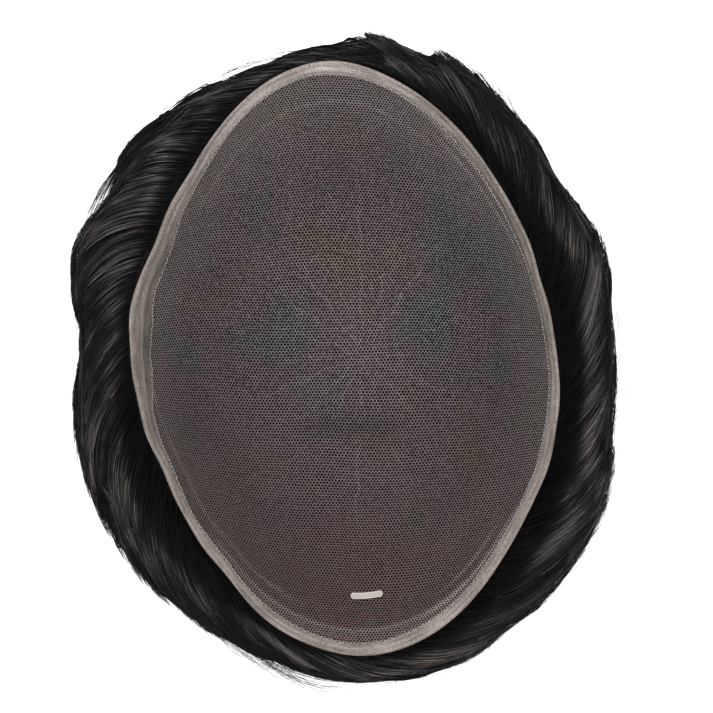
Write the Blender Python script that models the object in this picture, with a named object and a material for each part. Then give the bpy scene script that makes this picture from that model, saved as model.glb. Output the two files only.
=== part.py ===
"""A man's toupee, lying on its hair with the inside of its base turned up.

The base is an oval cap of fine lace. Its raw edge is turned in and sewn down as a hem, a small
tape is sewn inside the back, and the hair is knotted over the whole outer face of the lace.
+Y is the front hairline, +X is to the right as the inside is looked at, and +Z is up.
The origin lies on the table, straight below the deepest point of the base.
"""

import math

import bmesh
import bpy
from mathutils import Vector

# The lace base. It is cut as 8 by 10 inches along its curve, and these are straight across.
BASE_WIDTH = 0.157
BASE_LENGTH = 0.218
BASE_DEPTH = 0.055
BASE_LEAN = 5.0  # degrees that the oval is turned by, as it lies
SHOULDER_PINCH = 0.05  # how much narrower than an ellipse the rim is at its four shoulders
SADDLE_RISE = 0.003  # how much higher the rim stands at the sides than at the two ends
LACE_THICKNESS = 0.001
CLEARANCE = 0.0003  # between pieces that touch on the real object

# The hem, which is the edge of the lace turned in over itself
HEM_THICKNESS = 0.0008

# The small bare tape sewn inside the back
TAPE_LENGTH = 0.012
TAPE_WIDTH = 0.0028
TAPE_THICKNESS = 0.0004
TAPE_GAP = 0.0005
TAPE_ANGLE = 275.0
TAPE_PLACE = 0.75  # share of the way from the middle of the base to its back edge

# The hair
HAIR_BED = 0.014  # hair pressed flat between the lace and the table
HAIR_REACH = 0.030  # the furthest that a lock reaches past the rim
HAIR_DROP = 0.005  # from the rim down to the first hair
LOCK_WIDTH = 0.021
LOCK_THICKNESS = 0.011

# How finely the round pieces are divided
SIDES = 48
TAPE_STEPS = 6
RINGS = (0.14, 0.28, 0.42, 0.55, 0.67, 0.79, 0.90, 1.0)
LOCK_CORNERS = 8

# Where the soft rim is pushed in or out.
# Columns: angle in degrees, depth as a share of BASE_WIDTH, spread in degrees
RIM_DENTS = (
    (12, 0.012, 18),
    (117, 0.016, 14),
    (165, -0.012, 14),
    (213, 0.009, 10),
    (240, 0.008, 7),
    (330, -0.015, 18),
)

# How wide the hem is, along the wall.
# Columns: angle in degrees, width as a share of BASE_WIDTH
HEM_WIDTHS = (
    (0, 0.070),
    (45, 0.056),
    (90, 0.044),
    (130, 0.066),
    (175, 0.120),
    (215, 0.066),
    (270, 0.046),
    (315, 0.070),
)

# How far the mass of hair stands out past the rim.
# Columns: angle in degrees, reach as a share of HAIR_REACH
MASS_REACH = (
    (0, 0.60),
    (26, 0.72),
    (42, 0.56),
    (66, 0.52),
    (92, 0.14),
    (108, 0.18),
    (134, 0.68),
    (152, 0.76),
    (178, 0.46),
    (208, 0.84),
    (232, 0.74),
    (258, 0.28),
    (282, 0.30),
    (300, 0.54),
    (328, 0.82),
    (346, 0.58),
)

# The section of that mass, from the rim outwards and down to the table.
# Columns: outwards as a share of its reach there, height as a share of the rim's height,
# and how much of the rim's own radius counts
MASS_SECTION = (
    (0.06, 0.87, 1.00),
    (0.30, 0.79, 1.00),
    (0.62, 0.77, 1.00),
    (0.92, 0.66, 1.00),
    (1.00, 0.46, 1.00),
    (0.74, 0.17, 1.00),
    (0.00, -0.02, 0.93),
)

# The locks that are seen from above. All are swept the same way round the base: on the left from
# the front to the back, and on the right from the back to the front.
# Columns: angle in degrees at the root, the middle and the tip; reach of the outer edge as a
# share of HAIR_REACH at the same three; width as a share of LOCK_WIDTH
UPPER_LOCKS = (
    (82, 104, 128, 0.10, 0.27, 0.70, 1.0),
    (96, 120, 144, 0.00, 0.44, 1.02, 1.1),
    (114, 132, 152, -0.15, 0.50, 0.70, 0.9),
    (128, 142, 159, -0.15, 0.84, 1.00, 1.0),
    (138, 151, 168, -0.15, 0.80, 0.86, 1.0),
    (148, 162, 179, -0.15, 0.66, 0.64, 0.9),
    (156, 171, 189, -0.15, 0.54, 0.72, 1.0),
    (164, 180, 199, -0.15, 0.52, 0.82, 1.0),
    (174, 191, 211, -0.15, 0.68, 0.98, 1.1),
    (185, 203, 223, -0.15, 0.60, 0.92, 1.1),
    (197, 215, 235, -0.15, 0.58, 0.82, 1.1),
    (210, 228, 247, -0.15, 0.62, 0.66, 1.0),
    (224, 241, 260, -0.10, 0.42, 0.38, 0.9),
    (238, 254, 274, -0.10, 0.30, 0.39, 0.9),
    (-106, -90, -73, 0.05, 0.36, 0.48, 1.0),
    (-96, -79, -61, -0.05, 0.42, 0.74, 1.1),
    (-85, -68, -50, -0.10, 0.48, 0.86, 1.1),
    (-74, -57, -39, -0.10, 0.60, 1.06, 1.1),
    (-63, -46, -28, -0.10, 0.72, 1.08, 1.1),
    (-52, -35, -17, -0.10, 0.82, 0.84, 1.1),
    (-41, -24, -6, -0.10, 0.62, 0.74, 1.0),
    (-30, -13, 5, -0.10, 0.56, 0.76, 1.0),
    (-19, -2, 16, -0.10, 0.56, 0.80, 1.0),
    (-8, 10, 27, -0.10, 0.58, 0.94, 1.1),
    (1, 18, 35, -0.10, 0.62, 0.74, 1.0),
    (12, 29, 46, -0.10, 0.62, 0.76, 1.0),
    (22, 39, 56, -0.10, 0.58, 0.76, 1.0),
    (32, 49, 66, -0.10, 0.56, 0.74, 1.0),
    (42, 60, 77, -0.10, 0.56, 0.58, 1.0),
    (56, 72, 87, 0.00, 0.42, 0.46, 0.9),
)
# The rows of locks under those, evenly spaced all the way round.
# Columns: layer; angle of the first root, and from a root to its tip, both in degrees; count;
# width as a share of LOCK_WIDTH
LOWER_ROWS = (
    ("middle", 6, 40, 15, 1.15),
    ("lower", 16, 48, 11, 1.45),
)
STAND_OUT = (-0.05, 0.14, 0.02)  # of HAIR_REACH, past the mass at root, middle and tip

# How each layer of locks lies.
# Columns: height as a share of the rim's height at root, middle and tip; lean of its flat side
# from facing up, in degrees, at the root and at the tip
LAYERS = {
    "upper": (0.70, 0.80, 0.68, 10, 50),
    "middle": (0.52, 0.55, 0.47, 70, 88),
    "lower": (0.25, 0.29, 0.22, 95, 105),
}

# The shape of one lock, from root to tip.
# Columns: share of the way, width and thickness as shares of the lock's own
LOCK_TAPER = (
    (0.00, 0.50, 0.60),
    (0.18, 0.84, 0.86),
    (0.36, 1.00, 1.00),
    (0.54, 0.98, 0.96),
    (0.70, 0.84, 0.82),
    (0.83, 0.62, 0.66),
    (0.93, 0.40, 0.48),
    (1.00, 0.16, 0.26),
)

# Colours, and how rough and metallic each surface is
FINISHES = {
    "lace": ((0.20, 0.17, 0.165, 1.0), 0.85),
    "folded_lace": ((0.42, 0.37, 0.34, 1.0), 0.80),
    "tape": ((0.52, 0.47, 0.45, 1.0), 0.70),
    "hair": ((0.012, 0.011, 0.011, 1.0), 0.42),
}


def table_value(table, angle, column=1):
    """Reads a table of angles at any angle, with a smooth run from each row to the next."""
    rows = sorted((row[0] % 360, row[column]) for row in table)
    rows.append((rows[0][0] + 360, rows[0][1]))
    place = (angle - rows[0][0]) % 360 + rows[0][0]
    for (low, start), (high, end) in zip(rows, rows[1:]):
        if place <= high:
            share = (place - low) / (high - low)
            ease = share * share * (3 - 2 * share)
            return start + (end - start) * ease
    return rows[-1][1]


def through_three(share, start, middle, end):
    """A value on the smooth curve that passes through three, evenly spaced."""
    return (
        (1 - share) * (1 - 2 * share) * start
        + 4 * share * (1 - share) * middle
        + share * (2 * share - 1) * end
    )


def dent(angle):
    """How far the soft rim is pushed in at an angle in degrees, in metres."""
    depth = 0.0
    for centre, share, spread in RIM_DENTS:
        away = (angle - centre + 180) % 360 - 180
        depth += share * BASE_WIDTH * math.exp(-((away / spread) ** 2))
    return depth


def rim_radius(angle):
    """The rim's plain outline, without its dents: an ellipse pinched at its shoulders."""
    turn = math.radians(angle - BASE_LEAN)
    half_width, half_length = BASE_WIDTH / 2, BASE_LENGTH / 2
    ellipse = 1 / math.hypot(math.cos(turn) / half_width, math.sin(turn) / half_length)
    return ellipse * (1 - SHOULDER_PINCH * math.sin(2 * turn) ** 2)


def base_bottom():
    """The height of the lace's inner face at its deepest point."""
    return HAIR_BED + CLEARANCE + LACE_THICKNESS


def rim_height(angle):
    """The height of the lace's top edge, which stands a little higher at the sides."""
    return base_bottom() + BASE_DEPTH + SADDLE_RISE * math.cos(math.radians(angle)) ** 2


def wall_arc(angle):
    """The arc from the deepest point up to the rim: its angle in radians and its radius."""
    reach = rim_radius(angle)
    half_arc = 2 * math.atan((rim_height(angle) - base_bottom()) / reach)
    return half_arc, reach / math.sin(half_arc)


def bowl_point(angle, share):
    """A point on the smooth inner face: share 0 is the deepest point and 1 is the rim."""
    half_arc, radius = wall_arc(angle)
    out = radius * math.sin(half_arc * share) - dent(angle) * share**3
    height = base_bottom() + radius * (1 - math.cos(half_arc * share))
    turn = math.radians(angle)
    return Vector((out * math.cos(turn), out * math.sin(turn), height))


def bowl_outward(angle, share):
    """The direction square to the wall, away from the hollow."""
    step = 0.01
    across = bowl_point(angle + 1, share) - bowl_point(angle - 1, share)
    up = bowl_point(angle, min(1.0, share + step)) - bowl_point(angle, share - step)
    return across.cross(up).normalized()


def wall_point(angle, share, offset):
    """A point at an offset from the inner face as it is built, straight between its rings."""
    for low, high in zip(RINGS, RINGS[1:]):
        if share <= high:
            part = (share - low) / (high - low)
            start = bowl_point(angle, low) + bowl_outward(angle, low) * offset
            end = bowl_point(angle, high) + bowl_outward(angle, high) * offset
            return start.lerp(end, part)
    return bowl_point(angle, 1.0) + bowl_outward(angle, 1.0) * offset


def side_angles():
    return [360 * i / SIDES for i in range(SIDES)]


def finish(name):
    """The plain material of a piece."""
    made = bpy.data.materials.get(name)
    if made is None:
        colour, roughness = FINISHES[name]
        made = bpy.data.materials.new(name)
        made.use_nodes = True
        shader = made.node_tree.nodes["Principled BSDF"]
        shader.inputs["Base Color"].default_value = colour
        shader.inputs["Roughness"].default_value = roughness
        shader.inputs["Metallic"].default_value = 0.0
    return made


def new_object(name, mesh, collection, finish_name=None):
    made = bpy.data.objects.new(name, mesh)
    collection.objects.link(made)
    if finish_name:
        mesh.materials.append(finish(finish_name))
    return made


def cutter_object(name, mesh, collection):
    """A solid that only cuts or joins others, and is no piece of the object."""
    made = new_object(name, mesh, collection)
    made.hide_render = True
    made.display_type = "WIRE"
    return made


def ring_loft(name, rings, closed_round=False, tip_low=None, tip_high=None):
    """A mesh through rings of points of equal count, with an optional point at each end.

    With closed_round the last ring joins the first, as in a hoop.
    """
    mesh = bpy.data.meshes.new(name)
    form = bmesh.new()
    loops = [[form.verts.new(point) for point in ring] for ring in rings]
    pairs = list(zip(loops, loops[1:]))
    if closed_round:
        pairs.append((loops[-1], loops[0]))
    for low, high in pairs:
        for i in range(len(low)):
            k = (i + 1) % len(low)
            form.faces.new((low[i], low[k], high[k], high[i]))
    for point, loop in ((tip_low, loops[0]), (tip_high, loops[-1])):
        if point is not None:
            tip = form.verts.new(point)
            for i in range(len(loop)):
                form.faces.new((loop[i], loop[(i + 1) % len(loop)], tip))
    if not closed_round and tip_low is None:
        form.faces.new(loops[0])
    if not closed_round and tip_high is None:
        form.faces.new(loops[-1])
    bmesh.ops.recalc_face_normals(form, faces=form.faces)
    form.to_mesh(mesh)
    form.free()
    return mesh


def lace_base(collection):
    """The lace cap: its inner and outer face meet at the rim in a plain edge."""
    angles = side_angles()
    inner = [[wall_point(a, ring, 0) for a in angles] for ring in RINGS]
    outer = [[wall_point(a, ring, LACE_THICKNESS) for a in angles] for ring in RINGS]
    deepest = Vector((0, 0, base_bottom()))
    mesh = ring_loft(
        "lace_base",
        inner + outer[::-1],
        tip_low=deepest,
        tip_high=deepest - Vector((0, 0, LACE_THICKNESS)),
    )
    return new_object("lace_base", mesh, collection, "lace")


def hem_section(angle):
    """The corners of the hem at one angle: a leg down the inside and a lip over the rim."""
    half_arc, radius = wall_arc(angle)
    bottom = 1 - table_value(HEM_WIDTHS, angle) * BASE_WIDTH / (half_arc * radius)
    middle = RINGS[-2] if bottom < RINGS[-2] - 0.01 else (1 + bottom) / 2
    near, far = -CLEARANCE, -CLEARANCE - HEM_THICKNESS
    rise = wall_point(angle, 1.0, 0) - wall_point(angle, RINGS[-2], 0)
    up = rise.normalized()
    lip_low = wall_point(angle, 1.0, near) + up * CLEARANCE
    lip_high = wall_point(angle, 1.0, far) + up * (CLEARANCE + HEM_THICKNESS)
    over_low = wall_point(angle, 1.0, LACE_THICKNESS) + up * CLEARANCE
    over_high = wall_point(angle, 1.0, LACE_THICKNESS) + up * (CLEARANCE + HEM_THICKNESS)
    return [
        wall_point(angle, bottom, near),
        wall_point(angle, middle, near),
        lip_low,
        over_low,
        over_high,
        lip_high,
        wall_point(angle, middle, far),
        wall_point(angle, bottom, far),
    ]


def edge_hem(collection):
    """The turned-in edge of the lace, sewn down round the inside of the rim."""
    mesh = ring_loft("edge_hem", [hem_section(a) for a in side_angles()], closed_round=True)
    return new_object("edge_hem", mesh, collection, "folded_lace")


def sewn_tape(collection):
    """The small bare tape inside the back, which follows the wall."""
    centre = wall_point(TAPE_ANGLE, TAPE_PLACE, 0)
    half_turn = math.degrees(TAPE_LENGTH / 2 / centre.xy.length)
    half_arc, radius = wall_arc(TAPE_ANGLE)
    half_share = TAPE_WIDTH / 2 / (half_arc * radius)
    rings = []
    for i in range(TAPE_STEPS + 1):
        angle = TAPE_ANGLE - half_turn + 2 * half_turn * i / TAPE_STEPS
        rings.append(
            [
                wall_point(angle, TAPE_PLACE - half_share, -TAPE_GAP),
                wall_point(angle, TAPE_PLACE + half_share, -TAPE_GAP),
                wall_point(angle, TAPE_PLACE + half_share, -TAPE_GAP - TAPE_THICKNESS),
                wall_point(angle, TAPE_PLACE - half_share, -TAPE_GAP - TAPE_THICKNESS),
            ]
        )
    return new_object("sewn_tape", ring_loft("sewn_tape", rings), collection, "tape")


def hair_mass():
    """The body of the hair, as a solid nest that the base is later cut out of."""
    angles = side_angles()
    rings = []
    for outward, height, radius in MASS_SECTION:
        ring = []
        for angle in angles:
            reach = table_value(MASS_REACH, angle) * HAIR_REACH
            turn = math.radians(angle)
            out = rim_radius(angle) * radius + reach * outward
            ring.append((out * math.cos(turn), out * math.sin(turn), height * rim_height(angle)))
        rings.append(ring)
    first = []
    for angle in angles:
        edge = bowl_point(angle, 1.0) + bowl_outward(angle, 1.0) * HAIR_DROP / 2
        first.append(edge - Vector((0, 0, HAIR_DROP)))
    top = base_bottom() + BASE_DEPTH - HAIR_DROP
    under = MASS_SECTION[-1][1] * (base_bottom() + BASE_DEPTH)
    return ring_loft(
        "hair_mass",
        [first] + rings,
        tip_low=Vector((0, 0, top)),
        tip_high=Vector((0, 0, under)),
    )


def lock_lean(layer, share):
    start, end = (math.radians(lean) for lean in LAYERS[layer][3:])
    return start + (end - start) * share


def lock_centre(row, layer, share, half_width, half_thickness):
    """The middle of a lock part way along it, set in so that its outer edge has its reach."""
    angle = through_three(share, *row[0:3])
    reach = through_three(share, *row[3:6]) * HAIR_REACH
    height = through_three(share, *LAYERS[layer][0:3]) * rim_height(angle)
    lean = lock_lean(layer, share)
    inset = half_width * abs(math.cos(lean)) + half_thickness * math.sin(lean)
    out = rim_radius(angle) + reach - inset
    turn = math.radians(angle)
    return Vector((out * math.cos(turn), out * math.sin(turn), height))


def lock(row, layer):
    """One flat tapering lock, which lies on the mass and bends towards the back."""
    sections = []
    step = 0.01
    for share, width, thickness in LOCK_TAPER:
        half_width = width * row[6] * LOCK_WIDTH / 2
        half_thickness = thickness * LOCK_THICKNESS / 2
        centre = lock_centre(row, layer, share, half_width, half_thickness)
        ahead = lock_centre(row, layer, share + step, half_width, half_thickness)
        behind = lock_centre(row, layer, share - step, half_width, half_thickness)
        along = (ahead - behind).normalized()
        outward = Vector((centre.x, centre.y, 0)).normalized()
        lean = lock_lean(layer, share)
        face = Vector((0, 0, math.cos(lean))) + outward * math.sin(lean)
        side = along.cross(face).normalized()
        face = side.cross(along)
        ring = []
        for k in range(LOCK_CORNERS):
            turn = 2 * math.pi * (k + 0.5) / LOCK_CORNERS
            offset = side * half_width * math.cos(turn) + face * half_thickness * math.sin(turn)
            ring.append(centre + offset)
        sections.append(ring)
    return ring_loft("lock", sections)


def lower_rows():
    """The rows of the table of upper locks, as they would be for the layers beneath."""
    rows = []
    for layer, first, sweep, count, width in LOWER_ROWS:
        for i in range(count):
            root = first + 360 * i / count
            angles = (root, root + sweep / 2, root + sweep)
            reaches = [table_value(MASS_REACH, a) + out for a, out in zip(angles, STAND_OUT)]
            rows.append((layer, (*angles, *reaches, width)))
    return rows


def joined(name, meshes):
    """One mesh that holds several, which still cross each other."""
    form = bmesh.new()
    for mesh in meshes:
        form.from_mesh(mesh)
        bpy.data.meshes.remove(mesh)
    made = bpy.data.meshes.new(name)
    form.to_mesh(made)
    form.free()
    return made


def room_for_base():
    """The room that the base, its hem and the hollow above them take out of the hair."""
    angles = side_angles()
    gap = LACE_THICKNESS + CLEARANCE
    rings = [[wall_point(a, ring, gap) for a in angles] for ring in RINGS]
    rim = rings[-1]
    above = HEM_THICKNESS + HAIR_BED
    for rise in (CLEARANCE + HEM_THICKNESS, above):
        rings.append([point + Vector((0, 0, rise)) for point in rim])
    low = Vector((0, 0, base_bottom() - gap))
    high = low + Vector((0, 0, BASE_DEPTH + above))
    return ring_loft("room_for_base", rings, tip_low=low, tip_high=high)


def table_slab():
    """All that would lie under the table's top, which the hair is pressed flat on."""
    mesh = bpy.data.meshes.new("table_slab")
    form = bmesh.new()
    bmesh.ops.create_cube(form, size=1.0)
    spread = 2 * (BASE_LENGTH + 2 * HAIR_REACH)
    bmesh.ops.scale(form, vec=(spread, spread, HAIR_BED), verts=form.verts)
    bmesh.ops.translate(form, vec=(0, 0, -HAIR_BED / 2), verts=form.verts)
    form.to_mesh(mesh)
    form.free()
    return mesh


def boolean(target, operation, other, crosses_itself=False):
    step = target.modifiers.new(other.name, "BOOLEAN")
    step.operation = operation
    step.object = other
    step.solver = "EXACT"
    step.use_self = crosses_itself


def connected(start):
    """All the vertices that edges join to this one."""
    found = {start}
    waiting = [start]
    while waiting:
        for edge in waiting.pop().link_edges:
            for vert in edge.verts:
                if vert not in found:
                    found.add(vert)
                    waiting.append(vert)
    return found


def settle(body):
    """Applies the Booleans and drops any small pocket that they sealed in between the locks."""
    graph = bpy.context.evaluated_depsgraph_get()
    mesh = bpy.data.meshes.new_from_object(body.evaluated_get(graph))
    form = bmesh.new()
    form.from_mesh(mesh)
    islands = []
    left = set(form.verts)
    while left:
        islands.append(connected(next(iter(left))))
        left -= islands[-1]
    islands.sort(key=len)
    pockets = [vert for island in islands[:-1] for vert in island]
    bmesh.ops.delete(form, geom=pockets, context="VERTS")
    form.to_mesh(mesh)
    form.free()
    body.modifiers.clear()
    body.data = mesh


def hair(collection, cutters):
    """The hair: locks fused to the mass, cut out for the base and flat where it rests."""
    body = new_object("hair", hair_mass(), collection, "hair")
    shapes = [lock(row, "upper") for row in UPPER_LOCKS]
    shapes += [lock(row, layer) for layer, row in lower_rows()]
    locks = cutter_object("locks", joined("locks", shapes), cutters)
    boolean(body, "UNION", locks, crosses_itself=True)
    boolean(body, "DIFFERENCE", cutter_object("room_for_base", room_for_base(), cutters))
    boolean(body, "DIFFERENCE", cutter_object("table_slab", table_slab(), cutters))
    settle(body)
    return body


def main():
    for old in list(bpy.data.objects):
        bpy.data.objects.remove(old)
    parts = bpy.data.collections.new("toupee")
    cutters = bpy.data.collections.new("cutters")
    for collection in (parts, cutters):
        bpy.context.scene.collection.children.link(collection)
    lace_base(parts)
    edge_hem(parts)
    sewn_tape(parts)
    hair(parts, cutters)


main()
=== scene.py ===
"""The looks of a toupee that lies on its hair, with the inside of its lace base turned up.

+Y is the front hairline, +X is to the right as the inside is looked at, +Z is up, in metres.
"""

import math

import bpy
import numpy as np
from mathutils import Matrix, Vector
from mathutils.bvhtree import BVHTree


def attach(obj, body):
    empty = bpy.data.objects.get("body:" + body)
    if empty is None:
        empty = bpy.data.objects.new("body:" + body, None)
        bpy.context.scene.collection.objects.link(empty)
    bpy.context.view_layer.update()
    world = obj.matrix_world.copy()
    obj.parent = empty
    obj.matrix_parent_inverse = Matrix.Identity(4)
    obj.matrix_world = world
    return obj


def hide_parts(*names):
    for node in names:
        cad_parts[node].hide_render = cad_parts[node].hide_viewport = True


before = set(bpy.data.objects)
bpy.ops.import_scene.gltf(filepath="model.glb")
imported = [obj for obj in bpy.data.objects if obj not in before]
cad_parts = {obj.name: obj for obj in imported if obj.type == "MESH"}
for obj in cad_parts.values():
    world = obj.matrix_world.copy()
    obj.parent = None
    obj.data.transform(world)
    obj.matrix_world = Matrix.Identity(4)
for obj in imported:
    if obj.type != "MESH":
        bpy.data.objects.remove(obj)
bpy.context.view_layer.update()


# LACE NET
# The cap is a fine hexagonal net of mauve-grey thread, set by heat over a dome.
# Each thread is a narrow flat ribbon and each knot a small triangle, laid on the wall's own curve.

BASE_WIDTH = 0.157
BASE_LENGTH = 0.218
BASE_DEPTH = 0.055
BASE_LEAN = 5.0  # degrees
BASE_BOTTOM = 0.0153  # height of the deepest point
SHOULDER_PINCH = 0.05
SADDLE_RISE = 0.003
CLEARANCE = 0.0003

# Where the soft rim is pushed in or out.
# Columns: angle in degrees, depth as a share of BASE_WIDTH, spread in degrees
RIM_DENTS = (
    (12, 0.012, 18),
    (24, 0.005, 12),
    (75, 0.006, 12),
    (117, 0.016, 14),
    (132, 0.008, 8),
    (150, 0.006, 10),
    (165, -0.012, 14),
    (190, 0.006, 10),
    (213, 0.009, 10),
    (240, 0.008, 7),
    (330, -0.015, 18),
)

NET_PITCH = 0.00126  # from hole to hole
THREAD_WIDTH = 0.00037
THREAD_JITTER = 0.00005
NET_EDGE = 0.985  # the net ends under the hem, at this share of the way to the rim
NET_WARP = 0.0007  # how far the rows of holes wander
NET_SAG = 0.00035  # how far the lace stands in from a smooth dome

CREASE_CENTRE = (0.0059, 0.0011)
CREASE_WIDTH = 0.00035
CREASE_PALENESS = 0.17
# Faint pale creases that run out from there.
# Columns: angle in degrees, length in metres, strength
CREASES = (
    (2, 0.034, 0.5),
    (21, 0.048, 0.8),
    (38, 0.040, 0.6),
    (56, 0.062, 0.9),
    (74, 0.055, 0.6),
    (91, 0.078, 1.0),
    (108, 0.060, 0.7),
    (124, 0.052, 0.9),
    (143, 0.046, 0.6),
    (161, 0.052, 0.8),
    (182, 0.036, 0.6),
    (203, 0.050, 0.8),
    (226, 0.040, 0.6),
    (247, 0.058, 0.8),
    (268, 0.070, 0.9),
    (289, 0.052, 0.6),
    (312, 0.044, 0.8),
    (336, 0.050, 0.6),
)
# Pale lines along the rim, where the lace is doubled or was folded.
# Columns: first and last angle in degrees, share of the way to the rim, strength
FOLD_LINES = (
    (14, 78, 0.930, 0.45),
    (22, 70, 0.885, 0.3),
    (62, 138, 0.835, 0.15),
    (150, 200, 0.860, 0.3),
    (196, 262, 0.850, 0.2),
    (284, 322, 0.915, 0.45),
    (290, 314, 0.865, 0.25),
    (226, 316, 0.940, 0.20),
    (228, 312, 0.922, 0.15),
    (230, 300, 0.905, 0.32),
)
FOLD_WIDTH = 0.008  # as a share of the way to the rim
SMUDGE = (0.002, -0.026, 0.019, 0.0045)  # centre x and y, half length and half height
SMUDGE_STRENGTH = 0.8


def linear(colour):
    """A colour given as sRGB hex, as the linear values that a shader takes."""
    parts = [int(colour[i : i + 2], 16) / 255 for i in (0, 2, 4)]
    return [p / 12.92 if p <= 0.04045 else ((p + 0.055) / 1.055) ** 2.4 for p in parts] + [1.0]


def table_value(table, angle, column=1):
    """Reads a table of angles at any angles, with a smooth run from each row to the next."""
    rows = sorted((row[0] % 360, row[column]) for row in table)
    rows = [(rows[-1][0] - 360, rows[-1][1])] + rows + [(rows[0][0] + 360, rows[0][1])]
    stops = np.array([row[0] for row in rows])
    values = np.array([row[1] for row in rows])
    angle = np.mod(angle, 360)
    place = np.searchsorted(stops, angle, side="right") - 1
    share = (angle - stops[place]) / (stops[place + 1] - stops[place])
    ease = share * share * (3 - 2 * share)
    return values[place] + (values[place + 1] - values[place]) * ease


def turned_away(angle, centre):
    """How many degrees an angle is from another, from -180 to 180."""
    return np.mod(angle - centre + 180, 360) - 180


def dent(angle):
    return sum(s * BASE_WIDTH * np.exp(-((turned_away(angle, a) / w) ** 2)) for a, s, w in RIM_DENTS)


def rim_radius(angle):
    """The rim's plain outline, without its dents: an ellipse pinched at its shoulders."""
    turn = np.radians(angle - BASE_LEAN)
    ellipse = 1 / np.hypot(np.cos(turn) * 2 / BASE_WIDTH, np.sin(turn) * 2 / BASE_LENGTH)
    return ellipse * (1 - SHOULDER_PINCH * np.sin(2 * turn) ** 2)


def rim_height(angle):
    return BASE_BOTTOM + BASE_DEPTH + SADDLE_RISE * np.cos(np.radians(angle)) ** 2


def wall_arc(angle):
    """The arc from the deepest point up to the rim: its angle in radians and its radius."""
    reach = rim_radius(angle)
    half_arc = 2 * np.arctan((rim_height(angle) - BASE_BOTTOM) / reach)
    return half_arc, reach / np.sin(half_arc)


def wall_place(angle, share, offset=0.0, rise=0.0):
    """Points at an offset out from the wall's inner face, and at a rise along it past there."""
    half_arc, radius = wall_arc(angle)
    out = radius * np.sin(half_arc * share) - dent(angle) * share**3
    height = BASE_BOTTOM + radius * (1 - np.cos(half_arc * share))
    run = radius * half_arc * np.cos(half_arc * share) - 3 * dent(angle) * share**2
    climb = radius * half_arc * np.sin(half_arc * share)
    size = np.hypot(run, climb)
    out = out + (offset * climb + rise * run) / size
    height = height + (rise * climb - offset * run) / size
    turn = np.radians(angle)
    return np.stack([out * np.cos(turn), out * np.sin(turn), height], axis=-1)


def laid_on_wall(x, y):
    """The angle and the share of the way to the rim where points of flat lace come on the wall."""
    angle = np.degrees(np.arctan2(y, x))
    half_arc, radius = wall_arc(angle)
    return angle, 2 * np.arcsin(np.minimum(np.hypot(x, y) / (2 * radius), 0.9)) / half_arc


def ripples(rng, x, y, longest, count=7):
    """Gentle waves over a plane, from -1 to 1, the longest of the given length."""
    total = 0.0
    for _ in range(count):
        turn = rng.uniform(0, 6.28)
        length = longest * rng.uniform(0.45, 1)
        phase = rng.uniform(0, 6.28)
        total = total + np.sin((x * math.cos(turn) + y * math.sin(turn)) * 6.28 / length + phase)
    return total / count**0.5 / 1.5


def add_mesh(name, points, faces, uv=None, smooth=True):
    """An object from arrays of points and faces, with a UV place for each point."""
    mesh = bpy.data.meshes.new(name)
    mesh.from_pydata(points.tolist(), [], faces)
    mesh.polygons.foreach_set("use_smooth", [smooth] * len(mesh.polygons))
    if uv is not None:
        corner = np.empty(len(mesh.loops), dtype=np.int32)
        mesh.loops.foreach_get("vertex_index", corner)
        layer = mesh.uv_layers.new(name="OFBake")
        layer.data.foreach_set("uv", uv[corner].astype(np.float32).ravel())
    made = bpy.data.objects.new(name, mesh)
    bpy.context.scene.collection.objects.link(made)
    return made


def point_values(piece, name, values):
    """Keeps a number for each point of a piece, which its material reads by name."""
    stored = piece.data.attributes.new(name, "FLOAT", "POINT")
    stored.data.foreach_set("value", values.astype(np.float32))


def node(material, kind, settings=(), **links):
    """Adds a shader node with its settings and values or links by input name."""
    made = material.node_tree.nodes.new(kind)
    for key, value in dict(settings).items():
        setattr(made, key, value)
    for key, value in links.items():
        socket = made.inputs[int(key[1:]) if key[0] == "i" and key[1:].isdigit() else key.replace("_", " ")]
        if isinstance(value, bpy.types.NodeSocket):
            material.node_tree.links.new(value, socket)
        else:
            socket.default_value = value
    return made


def new_material(name):
    """An empty node material and its surface shader."""
    material = bpy.data.materials.new(name)
    material.use_nodes = True
    return material, material.node_tree.nodes["Principled BSDF"]


def ramp(material, factor, stops):
    """A run of colours, given as (place, sRGB hex)."""
    made = node(material, "ShaderNodeValToRGB", Fac=factor)
    steps = made.color_ramp.elements
    while len(steps) < len(stops):
        steps.new(1.0)
    for step, (place, colour) in zip(steps, stops):
        step.position, step.color = place, linear(colour)
    return made.outputs["Color"]


def mixed(material, factor, first, second, blend="MIX"):
    made = node(
        material,
        "ShaderNodeMix",
        {"data_type": "RGBA", "blend_type": blend},
        i0=factor,
        i6=first,
        i7=second,
    )
    return made.outputs[2]


def calculated(material, operation, first, second):
    return node(material, "ShaderNodeMath", {"operation": operation}, i0=first, i1=second).outputs[0]


def moved_range(material, value, given, wanted):
    """A value moved from the range that is given, as (start, end), into the one wanted."""
    made = node(
        material,
        "ShaderNodeMapRange",
        Value=value,
        From_Min=given[0],
        From_Max=given[1],
        To_Min=wanted[0],
        To_Max=wanted[1],
    )
    return made.outputs[0]


def object_place(material):
    return node(material, "ShaderNodeTexCoord").outputs["Object"]


def join_to(material, shader, **values):
    """Links sockets, or sets values, on the inputs of the surface shader."""
    for key, value in values.items():
        socket = shader.inputs[key.replace("_", " ")]
        if isinstance(value, bpy.types.NodeSocket):
            material.node_tree.links.new(value, socket)
        else:
            socket.default_value = value


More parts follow.
